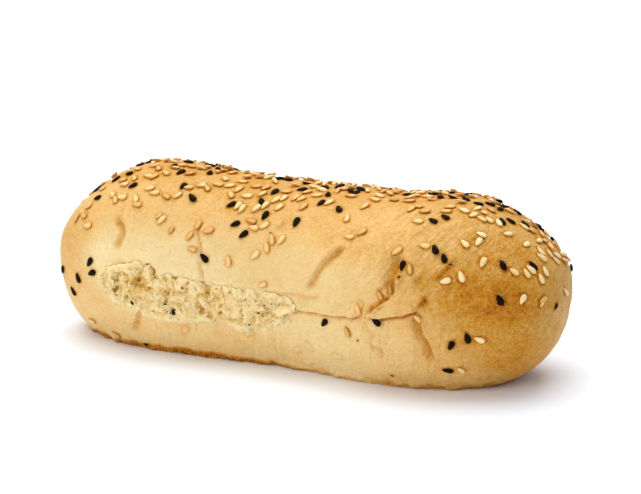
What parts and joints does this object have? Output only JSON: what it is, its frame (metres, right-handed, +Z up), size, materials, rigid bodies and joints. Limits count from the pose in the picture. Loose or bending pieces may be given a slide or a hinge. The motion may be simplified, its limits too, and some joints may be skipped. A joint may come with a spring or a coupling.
{
  "type": "hot dog bun",
  "caption": "Soft golden hot dog bun with a rounded crust, a flat baked base, a torn side that shows the crumb, and black and white sesame seeds baked into the top.",
  "frame": {"origin": "centre of the bounding box in plan, on the surface that the flat baked base rests on", "axes": "+X along the loaf towards its wider, darker end, -Y out of the torn side, +Z up"},
  "size_m": [0.16, 0.0603, 0.0542],
  "materials": {
    "crust": "matt baked crust, golden on top and pale cream on the sides",
    "black_seed": "satin ridged seed coat",
    "white_seed": "satin toasted hulled seed"
  },
  "bodies": {
    "root": {"black_sesame_01": "black_seed", "black_sesame_02": "black_seed", "black_sesame_03": "black_seed", "black_sesame_04": "black_seed", "black_sesame_05": "black_seed", "black_sesame_06": "black_seed", "black_sesame_07": "black_seed", "black_sesame_08": "black_seed", "black_sesame_09": "black_seed", "black_sesame_10": "black_seed", "black_sesame_11": "black_seed", "black_sesame_12": "black_seed", "black_sesame_13": "black_seed", "black_sesame_14": "black_seed", "black_sesame_15": "black_seed", "black_sesame_16": "black_seed", "black_sesame_17": "black_seed", "black_sesame_18": "black_seed", "black_sesame_19": "black_seed", "black_sesame_20": "black_seed", "black_sesame_21": "black_seed", "black_sesame_22": "black_seed", "black_sesame_23": "black_seed", "black_sesame_24": "black_seed", "black_sesame_25": "black_seed", "black_sesame_26": "black_seed", "black_sesame_27": "black_seed", "black_sesame_28": "black_seed", "black_sesame_29": "black_seed", "black_sesame_30": "black_seed", "black_sesame_31": "black_seed", "black_sesame_32": "black_seed", "black_sesame_33": "black_seed", "black_sesame_34": "black_seed", "black_sesame_35": "black_seed", "black_sesame_36": "black_seed", "black_sesame_37": "black_seed", "black_sesame_38": "black_seed", "black_sesame_39": "black_seed", "black_sesame_40": "black_seed", "black_sesame_41": "black_seed", "black_sesame_42": "black_seed", "black_sesame_43": "black_seed", "black_sesame_44": "black_seed", "black_sesame_45": "black_seed", "black_sesame_46": "black_seed", "black_sesame_47": "black_seed", "bun": "crust", "white_sesame_01": "white_seed", "white_sesame_02": "white_seed", "white_sesame_03": "white_seed", "white_sesame_04": "white_seed", "white_sesame_05": "white_seed", "white_sesame_06": "white_seed", "white_sesame_07": "white_seed", "white_sesame_08": "white_seed", "white_sesame_09": "white_seed", "white_sesame_10": "white_seed", "white_sesame_11": "white_seed", "white_sesame_12": "white_seed"}
  },
  "joints": []
}
